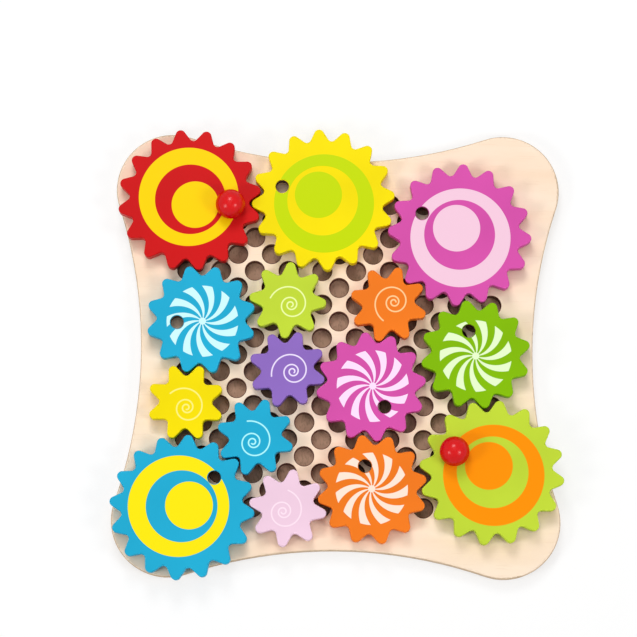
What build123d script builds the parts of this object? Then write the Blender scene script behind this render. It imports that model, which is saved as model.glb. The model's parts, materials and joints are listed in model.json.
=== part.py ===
"""Wooden gear board: a perforated plywood board that carries fifteen painted gears.

Each gear turns on its own turned peg, and each peg stands loosely in one of the board's holes,
so a gear can be lifted off and set elsewhere.  Two ball knobs stand in crank holes and turn the train.
The origin lies under the middle hole, on the board's underside, +Z is up, and +Y is the far side.
"""
from build123d import *
import math
import os

os.makedirs("parts", exist_ok=True)

# ---- board, mm ----
corner_reach = 113.0           # centre of each rounded corner, from the board's middle
corner_radius = 38.2
waist_reach = 132.8            # middle of each hollow side, from the board's middle
outline_shift_x = -1.4         # board's middle from the middle hole: the holes stand a little off-centre
outline_shift_y = 0.4
panel_thickness = 8.0          # perforated upper panel
base_thickness = 3.0           # plain lower panel that closes the holes
board_edge_round = 1.4
hole_radius = 6.4
hole_mouth_chamfer = 0.5
hole_rows = 9                  # rows and columns of holes on each side of the middle

# ---- pegs, mm ----
peg_play = 2.1                 # how much smaller in radius a peg is than its hole
lean_gap = 0.2                 # what is left of that play where a peg leans right over
peg_end_gap = 0.5              # under a peg's foot
peg_end_chamfer = 0.8
collar_radius = 10.0
collar_height = 2.0            # holds the gear clear of the board
collar_edge_chamfer = 0.5

# ---- gears, mm ----
tooth_module = 5.75            # pitch diameter over number of teeth, the same for every gear
gear_thickness = 10.0
gear_edge_round = 0.7
seat_gap = 0.2                 # running gap under a gear and under a ball
bore_clearance = 0.1           # gear's bore around its peg
bore_depth = 6.5
bore_end_gap = 0.5             # over a peg's head
crank_hole_radius = 4.5
crank_hole_chamfer = 0.4
large_crank_reach = 29.3       # crank hole from the middle of a large gear
medium_crank_reach = 16.3      # crank hole from the middle of a medium gear

# ---- crank knobs, mm ----
ball_radius = 10.0
ball_flat_drop = 8.0           # from the ball's centre down to its flat underside
stem_play = 1.0                # how much smaller in radius a stem is than its crank hole
stem_lean_gap = 0.2            # what is left of that play where a stem leans right over
stem_end_gap = 1.0             # stem's foot above the gear's underside
stem_rise = 3.0                # stem's head above the ball's centre
stem_end_chamfer = 0.6
ball_bore_clearance = 0.1      # ball's bore around the stem
ball_bore_end_gap = 0.5        # over the stem's head

# Number of teeth of each gear size.
TEETH = {"large": 16, "medium": 12, "small": 8}

# Tooth form of each gear size, as shares of the module: how far the teeth stand out of the pitch
# circle, how far the gaps cut into it, and the radii of the tooth tips and of the gaps.
TOOTH_FORMS = {
    "large": (0.45, 0.92, 0.59, 0.49),
    "medium": (0.42, 0.80, 0.59, 0.49),
    "small": (0.52, 0.90, 0.56, 0.52),
}

# Each gear: size, colour, column and row of its hole, how far its peg leans in X and Y as a share of
# the free play, and the turn of a tooth in degrees from +X.
GEARS = [
    ("large", "red", -9, 9, 0.75, 0.35, -14.0),
    ("large", "yellow", -1, 9, 0.15, 0.70, -18.5),
    ("large", "magenta", 7, 7, 0.50, 0.45, -3.0),
    ("large", "blue", -9, -9, -0.40, -0.60, -4.5),
    ("large", "lime", 9, -7, -0.25, 0.25, -6.5),
    ("medium", "blue", -8, 2, -0.60, -0.40, -16.0),
    ("medium", "green", 8, 0, 0.10, -0.10, -19.5),
    ("medium", "magenta", 2, -2, -0.55, 0.15, -23.0),
    ("medium", "orange", 2, -8, -0.05, 0.10, -18.5),
    ("small", "lime", -3, 3, -0.10, 0.65, -4.5),
    ("small", "orange", 3, 3, -0.60, -0.60, -16.0),
    ("small", "purple", -3, -1, 0.00, 0.20, -17.5),
    ("small", "yellow", -9, -3, 0.40, 0.30, -23.0),
    ("small", "blue", -5, -5, 0.97, 0.20, -16.0),
    ("small", "pink", -3, -9, 0.55, -0.63, -8.5),
]

# Turn of each crank hole in degrees from +X.
CRANK_TURNS = {
    "large_red": -8.5,
    "large_yellow": 162.5,
    "large_magenta": 150.5,
    "large_blue": 43.0,
    "large_lime": 153.0,
    "medium_blue": 187.5,
    "medium_green": 106.5,
    "medium_magenta": -56.5,
    "medium_orange": 107.5,
}

# The gears whose crank hole holds a knob, and how far its stem leans in X and Y as a share of its play.
KNOBS = {
    "large_red": (-0.95, -0.05),
    "large_lime": (0.85, 0.10),
}

# ---- worked out from the sizes above ----
hole_pitch = 2 * tooth_module              # column and row spacing, so gears mesh from hole to hole
crank_reach = {"large": large_crank_reach, "medium": medium_crank_reach}
board_top = base_thickness + panel_thickness
peg_radius = hole_radius - peg_play
lean_reach = peg_play - lean_gap
collar_top = board_top + collar_height
gear_bottom = collar_top + seat_gap
gear_top = gear_bottom + gear_thickness
stem_radius = crank_hole_radius - stem_play
stem_lean_reach = stem_play - stem_lean_gap
ball_bottom = gear_top + seat_gap
ball_centre = ball_bottom + ball_flat_drop


def write(piece, node):
    """Write one piece to its own STEP file."""
    piece.label = node
    export_step(piece, f"parts/{node}.step")


def polar(radius, degrees):
    """The point at a radius and an angle from +X."""
    return Vector(radius * math.cos(math.radians(degrees)), radius * math.sin(math.radians(degrees)))


def edges_at(piece, height):
    """The edges of a piece that lie flat at one height."""
    return piece.edges().filter_by_position(Axis.Z, height - 0.001, height + 0.001)


def turned(*profile):
    """A piece turned about the Z axis from its half profile, given as points (radius, height)."""
    half = make_face(Plane.XZ * Polyline(*profile, close=True))
    return revolve(half, Axis.Z)


# ---- board ----
def board_outline():
    """Four rounded corners joined by four hollow sides, each side an arc tangent to two corners."""
    shoulder = waist_reach - corner_reach
    side_radius = (corner_reach ** 2 + shoulder ** 2 - corner_radius ** 2) / (2 * (corner_radius - shoulder))
    corner_centre = Vector(corner_reach, corner_reach)
    toward_side = (Vector(0, waist_reach + side_radius) - corner_centre).normalized()
    side_end = corner_centre + toward_side * corner_radius
    corner_middle = corner_centre + Vector(1, 1).normalized() * corner_radius
    side = ThreePointArc((-side_end.X, side_end.Y), (0, waist_reach), side_end)
    corner = ThreePointArc(side_end, corner_middle, (side_end.Y, side_end.X))
    quarters = [edge.rotate(Axis.Z, 90 * quarter) for quarter in range(4) for edge in (corner, side)]
    return Pos(outline_shift_x, outline_shift_y) * Face(Wire(quarters))


def hole_places():
    """Staggered holes: a hole's column and row are both odd or both even."""
    span = range(-hole_rows, hole_rows + 1)
    return [Pos(column * hole_pitch, row * hole_pitch)
            for column in span for row in span if (column + row) % 2 == 0]


def base_panel():
    """Plain panel glued under the perforated one."""
    panel = extrude(board_outline(), base_thickness, dir=(0, 0, 1))
    return fillet(edges_at(panel, 0), board_edge_round)


def peg_panel():
    """Perforated panel with its top edge rounded and the mouth of each hole eased."""
    panel = Pos(0, 0, base_thickness) * extrude(board_outline(), panel_thickness, dir=(0, 0, 1))
    panel = fillet(edges_at(panel, board_top), board_edge_round)
    mouth_bottom = board_top - hole_mouth_chamfer
    mouth_radius = hole_radius + hole_mouth_chamfer
    drill = turned((0, base_thickness), (hole_radius, base_thickness), (hole_radius, mouth_bottom),
                   (mouth_radius, board_top), (0, board_top))
    return panel - [place * drill for place in hole_places()]


# ---- gears and their pegs ----
def axle_place(column, row, lean_x, lean_y):
    """Axis of a gear: the middle of its hole, moved as far as its peg leans."""
    return Pos(column * hole_pitch + lean_x * lean_reach, row * hole_pitch + lean_y * lean_reach)


def gear_outline(teeth, addendum, dedendum, tip, gap):
    """Closed outline: for each tooth a tip arc, a straight flank, a gap arc and a straight flank.

    Tip arc and gap arc bend opposite ways, and the flank is the line that touches both of them.
    """
    half_pitch = 180 / teeth
    pitch_radius = teeth * tooth_module / 2
    tip_reach = pitch_radius + addendum * tooth_module
    gap_reach = pitch_radius - dedendum * tooth_module
    tip_radius = tip * tooth_module
    gap_radius = gap * tooth_module
    tip_centre = polar(tip_reach - tip_radius, 0)
    gap_centre = polar(gap_reach + gap_radius, half_pitch)
    run = gap_centre - tip_centre
    spread = math.degrees(math.acos((tip_radius + gap_radius) / run.length))
    flank_normal = math.degrees(math.atan2(run.Y, run.X)) - spread
    flank_top = tip_centre + polar(tip_radius, flank_normal)
    flank_foot = gap_centre - polar(gap_radius, flank_normal)
    top_turn = math.degrees(math.atan2(flank_top.Y, flank_top.X))
    foot_turn = math.degrees(math.atan2(flank_foot.Y, flank_foot.X))
    edges = []
    for tooth in range(teeth):
        middle = 2 * half_pitch * tooth
        following = middle + 2 * half_pitch
        tip_start = polar(flank_top.length, middle - top_turn)
        tip_end = polar(flank_top.length, middle + top_turn)
        gap_start = polar(flank_foot.length, middle + foot_turn)
        gap_end = polar(flank_foot.length, following - foot_turn)
        edges += [
            ThreePointArc(tip_start, polar(tip_reach, middle), tip_end),
            Line(tip_end, gap_start),
            ThreePointArc(gap_start, polar(gap_reach, middle + half_pitch), gap_end),
            Line(gap_end, polar(flank_top.length, following - top_turn)),
        ]
    return Face(Wire(edges))


def gear_disc(size):
    """Toothed disc with rounded edges and a blind bore below for its peg, one tooth on +X."""
    disc = extrude(gear_outline(TEETH[size], *TOOTH_FORMS[size]), gear_thickness, dir=(0, 0, 1))
    disc = fillet(edges_at(disc, 0) + edges_at(disc, gear_thickness), gear_edge_round)
    bore_radius = peg_radius + bore_clearance
    bore = turned((0, 0), (bore_radius, 0), (bore_radius, bore_depth), (0, bore_depth))
    return Pos(0, 0, gear_bottom) * (disc - bore)


def crank_drill():
    """The space of a crank hole, right through a gear, with both mouths eased."""
    rim_radius = crank_hole_radius + crank_hole_chamfer
    return turned(
        (0, gear_bottom), (rim_radius, gear_bottom), (crank_hole_radius, gear_bottom + crank_hole_chamfer),
        (crank_hole_radius, gear_top - crank_hole_chamfer), (rim_radius, gear_top), (0, gear_top))


def peg():
    """Turned peg: a foot in the board's hole, a collar on the board and a head in the gear's bore."""
    foot = base_thickness + peg_end_gap
    head = gear_bottom + bore_depth - bore_end_gap
    chamfered = peg_radius - peg_end_chamfer
    collar_edge = collar_radius - collar_edge_chamfer
    return turned(
        (0, foot), (chamfered, foot), (peg_radius, foot + peg_end_chamfer), (peg_radius, board_top),
        (collar_edge, board_top), (collar_radius, board_top + collar_edge_chamfer),
        (collar_radius, collar_top - collar_edge_chamfer), (collar_edge, collar_top),
        (peg_radius, collar_top), (peg_radius, head - peg_end_chamfer), (chamfered, head), (0, head))


# ---- crank knobs ----
def knob_stem():
    """Dowel that stands in the crank hole and carries the ball."""
    foot = gear_bottom + stem_end_gap
    head = ball_centre + stem_rise
    chamfered = stem_radius - stem_end_chamfer
    return turned((0, foot), (chamfered, foot), (stem_radius, foot + stem_end_chamfer),
                  (stem_radius, head - stem_end_chamfer), (chamfered, head), (0, head))


def knob_ball():
    """Ball with a flat underside and a blind bore for the stem."""
    bore_radius = stem_radius + ball_bore_clearance
    bore_end = ball_centre + stem_rise + ball_bore_end_gap
    ball = Pos(0, 0, ball_centre) * Sphere(ball_radius)
    ball -= Pos(0, 0, ball_bottom - ball_radius) * Box(4 * ball_radius, 4 * ball_radius, 2 * ball_radius)
    return ball - turned((0, ball_bottom), (bore_radius, ball_bottom), (bore_radius, bore_end), (0, bore_end))


write(base_panel(), "base_panel")
write(peg_panel(), "peg_panel")
discs = {size: gear_disc(size) for size in TEETH}
for size, colour, column, row, lean_x, lean_y, turn in GEARS:
    name = f"{size}_{colour}"
    axle = axle_place(column, row, lean_x, lean_y)
    gear = axle * Rot(0, 0, turn) * discs[size]
    if name in CRANK_TURNS:
        crank = axle * Pos(polar(crank_reach[size], CRANK_TURNS[name]))
        gear -= crank * crank_drill()
    if name in KNOBS:
        knob = crank * Pos(Vector(*KNOBS[name]) * stem_lean_reach)
        write(knob * knob_stem(), f"{name}_knob_stem")
        write(knob * knob_ball(), f"{name}_knob_ball")
    write(gear, f"{name}_gear")
    write(axle * peg(), f"{name}_peg")
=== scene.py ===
import bpy
import json
import math
import numpy as np
from mathutils import Matrix, Vector


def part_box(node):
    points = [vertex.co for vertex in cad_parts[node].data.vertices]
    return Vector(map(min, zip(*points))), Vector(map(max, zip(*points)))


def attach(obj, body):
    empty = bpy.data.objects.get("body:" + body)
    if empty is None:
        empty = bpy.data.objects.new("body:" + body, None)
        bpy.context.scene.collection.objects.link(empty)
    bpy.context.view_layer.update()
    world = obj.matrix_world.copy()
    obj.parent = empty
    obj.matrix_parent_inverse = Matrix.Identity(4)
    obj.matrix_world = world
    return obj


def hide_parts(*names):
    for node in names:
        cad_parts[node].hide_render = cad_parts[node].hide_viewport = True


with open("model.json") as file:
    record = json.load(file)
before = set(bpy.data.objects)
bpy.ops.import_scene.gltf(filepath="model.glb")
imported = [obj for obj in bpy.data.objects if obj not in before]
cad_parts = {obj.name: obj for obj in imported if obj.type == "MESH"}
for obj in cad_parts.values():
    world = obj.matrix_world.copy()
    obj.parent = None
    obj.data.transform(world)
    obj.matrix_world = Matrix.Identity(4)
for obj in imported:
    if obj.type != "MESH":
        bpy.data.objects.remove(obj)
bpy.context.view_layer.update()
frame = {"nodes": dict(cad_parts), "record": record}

# ---------------------------------------------------------------------------------------------
# Camera. The toy lies flat and is photographed from nearly straight above with a long lens,
# from a little in front of the board, so that the near edges and the hole walls just show.
LENS_MM = 146.9
DISTANCE = 1.766
FAR_LIMIT = 20.0
ELEVATION = math.radians(82.1)
AZIMUTH = math.radians(1.94)
ROLL = math.radians(-1.53)
board_low, board_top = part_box("peg_panel")[0].z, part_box("peg_panel")[1].z
AIM = Vector((-0.0139, 0.0249, board_top))

toward = Vector((math.cos(ELEVATION) * math.sin(AZIMUTH),
                 -math.cos(ELEVATION) * math.cos(AZIMUTH),
                 math.sin(ELEVATION)))
level_right = (-toward).cross(Vector((0, 0, 1))).normalized()
level_up = level_right.cross(-toward)
right = level_right * math.cos(ROLL) + level_up * math.sin(ROLL)
up = level_up * math.cos(ROLL) - level_right * math.sin(ROLL)
camera = bpy.data.objects.new("camera", bpy.data.cameras.new("camera"))
camera.data.lens = LENS_MM
camera.data.clip_end = FAR_LIMIT
camera.matrix_world = Matrix.Translation(AIM + toward * DISTANCE) @ Matrix(
    (right, up, toward)).transposed().to_4x4()
bpy.context.scene.collection.objects.link(camera)
bpy.context.scene.camera = camera


# ---------------------------------------------------------------------------------------------
# Board. Two panels glued face to face: a pale birch plywood panel, bored with staggered peg
# holes and sanded round at the rim, on a thin brown hardboard that closes the holes from below.
class Signal:
    """The value of one node socket. Sums and products written with it add Math nodes."""

    def __init__(self, socket):
        self.socket = socket

    def node(self, kind, settings=None, output=0, **links):
        """Add a node to the same tree, set its settings, link or fill its sockets, give its output.

        A socket is named by its label with underscores for spaces, or as input_0, input_1 and so on.
        """
        made = self.socket.id_data.nodes.new("ShaderNode" + kind)
        for name, value in (settings or {}).items():
            setattr(made, name, value)
        for name, value in links.items():
            key = int(name[6:]) if name.startswith("input_") else name.replace("_", " ")
            if isinstance(value, Signal):
                self.socket.id_data.links.new(value.socket, made.inputs[key])
            else:
                made.inputs[key].default_value = value
        return Signal(made.outputs[output])

    def math(self, operation, *values):
        """A Math node of these values, or of this one alone."""
        links = {f"input_{index}": value for index, value in enumerate(values or (self,))}
        return self.node("Math", {"operation": operation}, **links)

    def __add__(self, other):
        return self.math("ADD", self, other)

    def __radd__(self, other):
        return self.math("ADD", other, self)

    def __sub__(self, other):
        return self.math("SUBTRACT", self, other)

    def __rsub__(self, other):
        return self.math("SUBTRACT", other, self)

    def __mul__(self, other):
        return self.math("MULTIPLY", self, other)

    def __rmul__(self, other):
        return self.math("MULTIPLY", other, self)

    def __truediv__(self, other):
        return self.math("DIVIDE", self, other)

    def __rtruediv__(self, other):
        return self.math("DIVIDE", other, self)

    def __mod__(self, other):
        return self.math("FLOORED_MODULO", self, other)

    def __rmod__(self, other):
        return self.math("FLOORED_MODULO", other, self)

    def __pow__(self, other):
        return self.math("POWER", self, other)

    def __rpow__(self, other):
        return self.math("POWER", other, self)

    def __abs__(self):
        return self.math("ABSOLUTE")

    def part(self, axis):
        """The X, Y or Z of a vector, counted from 0."""
        return self.node("SeparateXYZ", output=axis, Vector=self)

    def below(self, edge, blur):
        """1 below the edge, 0 above it, with a soft step of this width."""
        return self.node("MapRange", {"interpolation_type": "SMOOTHSTEP", "clamp": True},
                         Value=self, From_Min=edge - blur / 2, From_Max=edge + blur / 2,
                         To_Min=1.0, To_Max=0.0)

    def above(self, edge, blur):
        """0 below the edge, 1 above it, with a soft step of this width."""
        return 1 - self.below(edge, blur)

    def mix(self, low, high):
        """The colour between low and high that this share picks."""
        return self.node("Mix", {"data_type": "RGBA"}, output=2,
                         input_0=self, input_6=low, input_7=high)

    def noise(self, scale, detail=3.0, stretch=(1, 1, 1)):
        """Noise of this scale at this place, stretched along the axes."""
        place = self.node("Mapping", Vector=self, Scale=stretch)
        return self.node("TexNoise", Vector=place, Scale=scale, Detail=detail)

    def bump(self, distance, strength):
        """Surface normals raised by this height."""
        return self.node("Bump", Height=self, Distance=distance, Strength=strength)

    def feed(self, node, socket_name):
        """Link this to a socket of a node."""
        self.socket.id_data.links.new(self.socket, node.inputs[socket_name])


def paint(red, green, blue):
    """A colour as it looks on screen, 0 to 255, in the linear values that shaders take."""
    screen = np.array([red, green, blue]) / 255
    linear = np.where(screen < 0.04045, screen / 12.92, ((screen + 0.055) / 1.055) ** 2.4)
    return (*linear.tolist(), 1.0)


def finish(name, **constants):
    """A new material: its shader, set to these constants, and the place on the object."""
    material = bpy.data.materials.new(name)
    material.use_nodes = True
    tree = material.node_tree
    shader = tree.nodes["Principled BSDF"]
    for socket_name, value in constants.items():
        shader.inputs[socket_name.replace("_", " ")].default_value = value
    place = Signal(tree.nodes.new("ShaderNodeTexCoord").outputs["Object"])
    return material, shader, place


def facing_up(place):
    """How far the surface faces up, from -1 to 1."""
    return place.node("TexCoord", output=1).part(2)


nodes = frame["nodes"]


def dress(node_name, material):
    """Give a CAD piece its finish."""
    slots = nodes[node_name].material_slots
    if slots:
        slots[0].material = material
    else:
        nodes[node_name].data.materials.append(material)


PLIES = 7
HOLES_REACH = 0.118      # past this reach in X or Y, an upright wall is the board's own rim


def birch_plywood():
    """Rotary-cut face veneer: faint waves of grain and short dark pores, plies at the rim.

    The walls of the peg holes are painted dark brown: painted shade that darkens the holes.
    """
    material, shader, place = finish("birch_plywood", Roughness=0.55)
    waves = place.noise(scale=3.2, detail=4.0, stretch=(2.2, 14.0, 1.0))
    pores = place.noise(scale=60.0, detail=2.0, stretch=(1.0, 14.0, 1.0))
    face = waves.below(0.5, blur=0.5).mix(paint(247, 219, 190), paint(254, 233, 210))
    pore_share = pores.above(0.66, blur=0.06) * 0.1
    face = pore_share.mix(face, paint(214, 176, 138))

    layer = (place.part(2) - board_low) * (PLIES / (board_top - board_low))
    cross_ply = (layer % 2.0).above(1.0, blur=0.12)
    end_grain = place.noise(scale=400.0, detail=2.0, stretch=(1, 1, 3))
    rim = cross_ply.mix(paint(222, 194, 160), paint(174, 140, 106))
    end_grain_share = end_grain.above(0.55, blur=0.2) * 0.3
    rim = end_grain_share.mix(rim, paint(140, 112, 86))

    # Painted shade: the peg hole walls are painted dark brown so that the holes look shaded.
    painted_hole_shade = end_grain.mix(paint(70, 30, 20), paint(104, 56, 38))
    reach_x, reach_y = abs(place.part(0)), abs(place.part(1))
    past_holes = place.math("MAXIMUM", reach_x, reach_y).above(HOLES_REACH, blur=0.001)
    side = past_holes.mix(painted_hole_shade, rim)
    facing = abs(facing_up(place)).above(0.84, blur=0.2)
    facing.mix(side, face).feed(shader, "Base Color")
    (waves * 0.6 + pores * 0.4).bump(distance=0.00012, strength=0.5).feed(shader, "Normal")
    (0.48 + pores * 0.15).feed(shader, "Roughness")
    return material


def brown_hardboard():
    """Pressed fibre board: short felted fibres in mottled brown; its rim walls are painted paler,
    painted light that lifts their shade.
    """
    material, shader, place = finish("brown_hardboard", Roughness=0.7)
    mottle = place.noise(scale=90.0, detail=5.0)
    fibre = place.noise(scale=900.0, detail=2.0, stretch=(1.0, 0.4, 1.0))
    face = mottle.mix(paint(180, 139, 114), paint(212, 171, 143))
    fibre_share = fibre.above(0.58, blur=0.1) * 0.35
    face = fibre_share.mix(face, paint(134, 104, 80))
    # Painted light: the upright rim walls are painted paler than the face to lift their shade.
    rim = mottle.mix(paint(212, 184, 150), paint(228, 202, 170))
    facing = abs(facing_up(place)).above(0.6, blur=0.4)
    facing.mix(rim, face).feed(shader, "Base Color")
    fibre.bump(distance=0.0001, strength=0.4).feed(shader, "Normal")
    return material


dress("peg_panel", birch_plywood())
dress("base_panel", brown_hardboard())

# ---------------------------------------------------------------------------------------------
# Gears. Each is a plywood disc sprayed all over with one satin colour, then screen-printed on
# top: nested circles on the large ones, a pinwheel on the medium ones, a spiral on the small ones.
INK_EDGE = 0.00025           # width of the soft edge of a print
PLY_THICKNESS = 0.0014
CRANK_WALL_REACH = 0.0058    # a little more than a crank hole's radius with its eased mouth
MOUNT_PLACES = {mount["name"]: Vector(mount["pos_m"]) for mount in frame["record"]["mounts"]}


def middle(node_name):
    """The middle of a turned piece, from its box."""
    low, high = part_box(node_name)
    return (low + high) / 2


def crank_hole(gear):
    """The middle of a gear's crank hole: its mount, or the stem that stands in it, or none."""
    stem = f"{gear}_knob_stem"
    return middle(stem) if stem in nodes else MOUNT_PLACES.get(f"{gear}_crank_socket")


def lacquer(gear, colour):
    """Satin paint over plywood: the colour, and the place measured from the gear's middle.

    The crank hole's wall is painted dark brown: painted shade that darkens the hole. The relief is the
    grain under the paint, a fine mist of spray, and a wave for each ply at the side.
    """
    material, shader, place = finish(f"{gear}_gear_paint", Specular_IOR_Level=0.1)
    local = place.node("VectorMath", {"operation": "SUBTRACT"},
                       input_0=place, input_1=tuple(middle(f"{gear}_peg")))
    cloud = local.noise(scale=18.0)
    deeper = tuple(channel * 0.9 for channel in colour[:3]) + (1.0,)
    body = cloud.above(0.5, blur=0.5).mix(deeper, colour)

    side = 1 - abs(facing_up(place)).above(0.5, blur=0.4)
    hole = crank_hole(gear)
    if hole is not None:
        flat = place.node("VectorMath", {"operation": "MULTIPLY"}, input_0=place, input_1=(1, 1, 0))
        reach = flat.node("VectorMath", {"operation": "DISTANCE"}, output=1,
                          input_0=flat, input_1=(hole.x, hole.y, 0))
        # Painted shade: the crank hole's wall is painted dark brown so that the hole looks shaded.
        wall = reach.below(CRANK_WALL_REACH, blur=0.0002) * side
        body = wall.mix(body, paint(84, 46, 30))

    grain = local.noise(scale=9.0, stretch=(3.0, 26.0, 3.0))
    mist = local.noise(scale=700.0, detail=2.0)
    plies = (local.part(2) * (2 * math.pi / PLY_THICKNESS)).math("SINE")
    relief = grain * 0.6 + mist * 0.08 + plies * side * 0.5
    return material, shader, local, body, relief


def printed(shader, local, body, relief, ink_mask, ink):
    """Lay one ink over the painted top, where the mask says, as a thin glossier film."""
    top = facing_up(local).above(0.9, blur=0.1)
    share = ink_mask * top
    share.mix(body, ink).feed(shader, "Base Color")
    (relief + share * 0.5).bump(distance=0.00008, strength=0.6).feed(shader, "Normal")
    (0.44 - share * 0.08).feed(shader, "Roughness")


def flat_parts(local, middle_x, middle_y):
    """X and Y from the print's middle."""
    return local.part(0) - middle_x, local.part(1) - middle_y


def away(x, y):
    """How far this X and Y reach: the root of the sum of their squares."""
    return (x * x + y * y) ** 0.5


def place_turn(x, y):
    """The turn of this X and Y about the print's middle, in radians."""
    return x.math("ARCTAN2", y, x)


def disc_mask(x, y, reach, degrees, radius):
    """A filled circle whose middle lies at a reach and an angle from the print's middle."""
    across = x - reach * math.cos(math.radians(degrees))
    along = y - reach * math.sin(math.radians(degrees))
    return away(across, along).below(radius, INK_EDGE)


def circles_paint(gear, colour, ink, degrees, middle_x, middle_y):
    """A ring that is wider on one side, and a disc set off-centre inside it.

    The ring is a large circle less a smaller one. Their middles lie apart, and so does the disc's.
    """
    ring_radius, ring_reach, ring_turn = 0.0339, 0.0021, 171.4
    hollow_radius = 0.0240
    spot_radius, spot_reach = 0.0160, 0.00495
    material, shader, local, body, relief = lacquer(gear, colour)
    x, y = flat_parts(local, middle_x, middle_y)
    ring = disc_mask(x, y, ring_reach, degrees + ring_turn, ring_radius)
    hollow = disc_mask(x, y, 0.0, 0.0, hollow_radius)
    spot = disc_mask(x, y, spot_reach, degrees, spot_radius)
    printed(shader, local, body, relief, ring - hollow + spot, ink)
    return material


def pinwheel_paint(gear, colour, ink, degrees, middle_x, middle_y):
    """Eleven blades that trail by the same angle for each step outwards, on a small round hub.

    The turn, less the trail, counts the blades. A place is inked where it lies nearer to the
    middle of its blade than half the blade's width, which grows outwards.
    """
    blades = 11
    trail_per_metre = math.radians(1730)
    inner_half_width, widening = 0.2, 2.4
    print_radius, hub_radius = 0.0242, 0.0024
    material, shader, local, body, relief = lacquer(gear, colour)
    x, y = flat_parts(local, middle_x, middle_y)
    reach = away(x, y)
    untrailed = place_turn(x, y) - math.radians(degrees) - reach * trail_per_metre
    blade_count = untrailed * (blades / (2 * math.pi))
    off_middle = abs(((blade_count + 0.5) % 1.0) - 0.5)
    half_width = inner_half_width + reach * widening
    edge = 0.5 * INK_EDGE * blades / (2 * math.pi)
    blade = ((half_width - off_middle) * reach).above(0.0, edge)
    blade = blade * reach.below(print_radius, INK_EDGE)
    hub = reach.below(hub_radius, INK_EDGE)
    printed(shader, local, body, relief, blade.math("MAXIMUM", blade, hub), ink)
    return material


def spiral_paint(gear, colour, ink, degrees):
    """One thin line that winds in clockwise, its reach shrinking by one share each quarter turn.

    The logarithm of the reach counts the turns wound in so far, and the line runs where that
    count agrees with the turn. Its pole stands off the gear's middle, so that its outermost turn
    looks centred.
    """
    outer_reach = 0.0146
    pole_reach, pole_turn = 0.0039, math.radians(degrees + 139.4)
    quarter_turn_share = 0.8
    shrink_per_turn = 4 * math.log(quarter_turn_share)
    turns = 2.7
    half_line = 0.00048
    material, shader, local, body, relief = lacquer(gear, colour)
    x, y = flat_parts(local, pole_reach * math.cos(pole_turn), pole_reach * math.sin(pole_turn))
    reach = away(x, y)
    turned = ((math.radians(degrees) - place_turn(x, y)) / (2 * math.pi)) % 1.0
    left = reach / outer_reach
    inward = left.math("LOGARITHM", left, math.e) / shrink_per_turn
    along = (inward - turned + 0.5).math("FLOOR") + turned
    distance = abs(inward - along) * reach * abs(shrink_per_turn)
    line = distance.below(half_line, INK_EDGE)
    ends = along.above(0.0, blur=0.004) * along.below(turns, blur=0.02)
    printed(shader, local, body, relief, line * ends, ink)
    return material


COLOURS = {
    "red": paint(208, 20, 22),
    "yellow": paint(252, 229, 0),
    "magenta": paint(218, 84, 173),
    "blue": paint(34, 176, 216),
    "lime": paint(197, 222, 58),
    "green": paint(133, 190, 0),
    "orange": paint(248, 126, 32),
    "purple": paint(146, 110, 197),
    "pink": paint(248, 212, 233),
}
# Each large or medium gear: its ink, the turn of its print in degrees from +X, and how far the
# print's middle lies from the gear's in X and Y. Each small gear: its ink and the spiral's start.
LARGE_INKS = {
    "red": (paint(252, 211, 0), -47.8, 0.0006, 0.0002),
    "yellow": (paint(196, 220, 0), 125.8, -0.0004, -0.0008),
    "magenta": (paint(245, 203, 223), 114.2, -0.0001, -0.0002),
    "blue": (paint(252, 234, 14), 6.5, -0.0001, 0.0006),
    "lime": (paint(253, 147, 0), 120.2, 0.0004, 0.0002),
}
MEDIUM_INKS = {
    "blue": (paint(206, 249, 253), 8.5, 0.0010, -0.00135),
    "green": (paint(232, 252, 204), 7.5, 0.0, -0.00135),
    "magenta": (paint(253, 224, 251), 3.3, 0.0010, 0.00034),
    "orange": (paint(254, 232, 214), 22.2, -0.00034, 0.00034),
}
SMALL_INKS = {
    "lime": (paint(238, 252, 168), 162.7),
    "orange": (paint(255, 208, 150), 241.7),
    "purple": (paint(238, 224, 252), 194.9),
    "yellow": (paint(253, 244, 130), 140.6),
    "blue": (paint(176, 250, 255), 106.8),
    "pink": (paint(255, 228, 243), 78.6),
}

for size, print_paint, inks in (("large", circles_paint, LARGE_INKS),
                                ("medium", pinwheel_paint, MEDIUM_INKS),
                                ("small", spiral_paint, SMALL_INKS)):
    for colour, ink_and_place in inks.items():
        gear = f"{size}_{colour}"
        dress(f"{gear}_gear", print_paint(gear, COLOURS[colour], *ink_and_place))


# ---------------------------------------------------------------------------------------------
# Pegs and knob stems. Turned beech, left bare: a foot in the board, a collar under the gear.
def turned_beech():
    """Straight upright grain with small dark flecks."""
    material, shader, place = finish("turned_beech", Roughness=0.6)
    grain = place.noise(scale=260.0, stretch=(1.0, 1.0, 0.08))
    colour = grain.mix(paint(214, 178, 134), paint(236, 206, 166))
    flecks = place.noise(scale=900.0, detail=1.0, stretch=(1.0, 1.0, 0.15))
    fleck_share = flecks.above(0.68, blur=0.05) * 0.4
    fleck_share.mix(colour, paint(160, 118, 78)).feed(shader, "Base Color")
    grain.bump(distance=0.0001, strength=0.4).feed(shader, "Normal")
    return material


beech = turned_beech()
for node_name in nodes:
    if node_name.endswith(("_peg", "_stem")):
        dress(node_name, beech)


# ---------------------------------------------------------------------------------------------
# Crank balls. Turned hardwood balls in thick red gloss lacquer, flat below where they ride on
# the gear, bored from below and set over the stem.
BALL_RINGS = 48
BALL_STEPS = 96
POLE_GAP = 0.02          # radians left at the top of a ball, closed by a small flat cap


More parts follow.
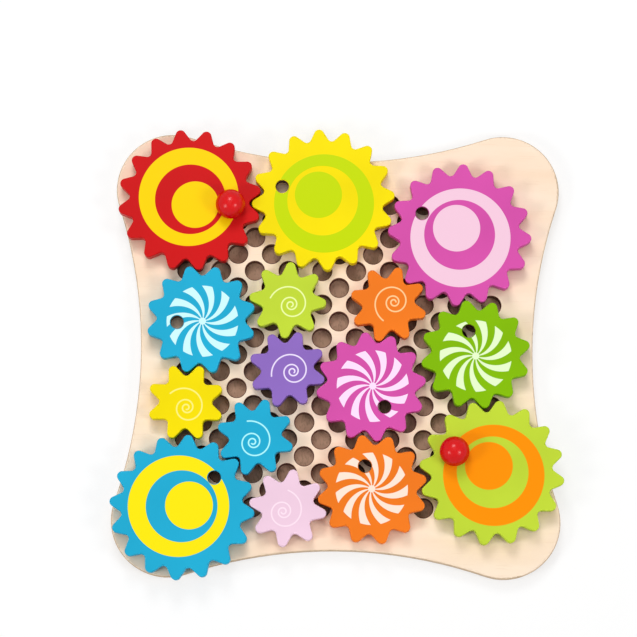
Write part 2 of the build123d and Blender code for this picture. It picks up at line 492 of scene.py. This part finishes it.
def revolved(name, profile, middle_x, middle_y, steps):
    """A closed surface: each (radius, height) of the profile swept round the upright axis."""
    turn = np.linspace(0, 2 * math.pi, steps, endpoint=False)
    x = middle_x + np.outer(profile[:, 0], np.cos(turn))
    y = middle_y + np.outer(profile[:, 0], np.sin(turn))
    z = np.repeat(profile[:, 1:], steps, axis=1)
    points = np.stack([x, y, z], axis=2).reshape(-1, 3)
    row, step = np.meshgrid(np.arange(len(profile) - 1), np.arange(steps), indexing="ij")
    following = (step + 1) % steps
    faces = np.stack([row * steps + step, row * steps + following,
                      (row + 1) * steps + following, (row + 1) * steps + step], axis=2).reshape(-1, 4)
    bottom_cap = list(range(steps))[::-1]
    top_cap = list(range((len(profile) - 1) * steps, len(profile) * steps))
    mesh = bpy.data.meshes.new(name)
    mesh.from_pydata(points.tolist(), [], faces.tolist() + [bottom_cap, top_cap])
    mesh.polygons.foreach_set("use_smooth", [True] * len(faces) + [False, False])
    piece = bpy.data.objects.new(name, mesh)
    bpy.context.scene.collection.objects.link(piece)
    return piece


def ball_profile(radius, centre_height, flat_height):
    """Radius and height up a ball, from the rim of its flat underside to its top: an arc."""
    rise = np.linspace(math.asin((flat_height - centre_height) / radius),
                       math.pi / 2 - POLE_GAP, BALL_RINGS)
    return np.stack([radius * np.cos(rise), centre_height + radius * np.sin(rise)], axis=1)


def red_gloss():
    """Thick red lacquer with a faint orange-peel skin."""
    material, shader, place = finish("red_gloss", Roughness=0.4, Specular_IOR_Level=0.0,
                                     Coat_Weight=0.55, Coat_Roughness=0.22)
    cloud = place.noise(scale=120.0, detail=2.0)
    cloud.mix(paint(208, 0, 4), paint(226, 0, 10)).feed(shader, "Base Color")
    place.noise(scale=420.0, detail=1.0).bump(distance=0.00004, strength=0.3).feed(shader, "Normal")
    return material


gloss = red_gloss()
for colour in ("red", "lime"):
    ball_node = f"large_{colour}_knob_ball"
    low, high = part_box(ball_node)
    radius = (high.x - low.x) / 2
    centre = middle(ball_node)
    ball = revolved(f"{colour}_gear_ball", ball_profile(radius, high.z - radius, low.z),
                    centre.x, centre.y, BALL_STEPS)
    ball.data.materials.append(gloss)
    dress(ball_node, gloss)
    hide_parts(ball_node)
    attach(ball, f"large_{colour}_knob_ball")

# ---------------------------------------------------------------------------------------------
# Studio. A table that fades to pure white, a wide soft lamp overhead and three small ones around
# the board. The glossy balls mirror the three small ones alone.
FLOOR_SIZE = 12.0
FLOOR_PALENESS = 0.93
FLOOR_GLOW = 1.05
GLOW_SHARE = 0.6             # how much of the glow covers the lit floor, where it is seen
WORLD_ON_OBJECT = 0.3


def seen_ray(place):
    """1 on rays from the camera, off gloss and through glass, 0 on those that light the object."""
    camera_ray = place.node("LightPath", output=0)
    glossy_ray = place.node("LightPath", output=3)
    transmission_ray = place.node("LightPath", output=6)
    return camera_ray + glossy_ray + transmission_ray


half = FLOOR_SIZE / 2
floor_mesh = bpy.data.meshes.new("floor")
floor_mesh.from_pydata([(-half, -half, 0), (half, -half, 0), (half, half, 0), (-half, half, 0)], [],
                       [(0, 1, 2, 3)])
floor = bpy.data.objects.new("floor", floor_mesh)
bpy.context.scene.collection.objects.link(floor)
table, table_shader, table_place = finish("white_table", Roughness=0.95)
table_shader.inputs["Base Color"].default_value = (FLOOR_PALENESS, FLOOR_PALENESS, FLOOR_PALENESS, 1.0)
blended = table_place.node("MixShader", input_0=seen_ray(table_place) * GLOW_SHARE,
                           input_1=Signal(table_shader.outputs[0]),
                           input_2=table_place.node("Emission", Strength=FLOOR_GLOW))
blended.feed(table.node_tree.nodes["Material Output"], "Surface")
floor.data.materials.append(table)

world = bpy.data.worlds.new("studio")
bpy.context.scene.world = world
world.use_nodes = True
background = world.node_tree.nodes["Background"]
background.inputs["Color"].default_value = (1.0, 1.0, 1.0, 1.0)
backdrop = seen_ray(Signal(background.outputs[0]))
(WORLD_ON_OBJECT + backdrop * (1 - WORLD_ON_OBJECT)).feed(background, "Strength")


def soft_lamp(name, place, size, watts):
    """A square soft box that faces the board."""
    lamp = bpy.data.objects.new(name, bpy.data.lights.new(name, "AREA"))
    lamp.data.size = size
    lamp.data.energy = watts
    lamp.location = place
    lamp.rotation_euler = (Vector((0, 0, 0)) - Vector(place)).to_track_quat("-Z", "Y").to_euler()
    bpy.context.scene.collection.objects.link(lamp)
    return lamp


key_lamp = soft_lamp("key", (-0.08, 0.3, 1.5), size=0.9, watts=4.6)
key_lamp.visible_glossy = False
soft_lamp("left", (-0.9, -0.42, 0.94), size=0.38, watts=4.4)
soft_lamp("right", (0.82, -0.34, 1.02), size=0.38, watts=4.2)
soft_lamp("back", (-0.12, 0.7, 1.05), size=0.38, watts=4.4)

bpy.context.scene.view_settings.view_transform = "Standard"
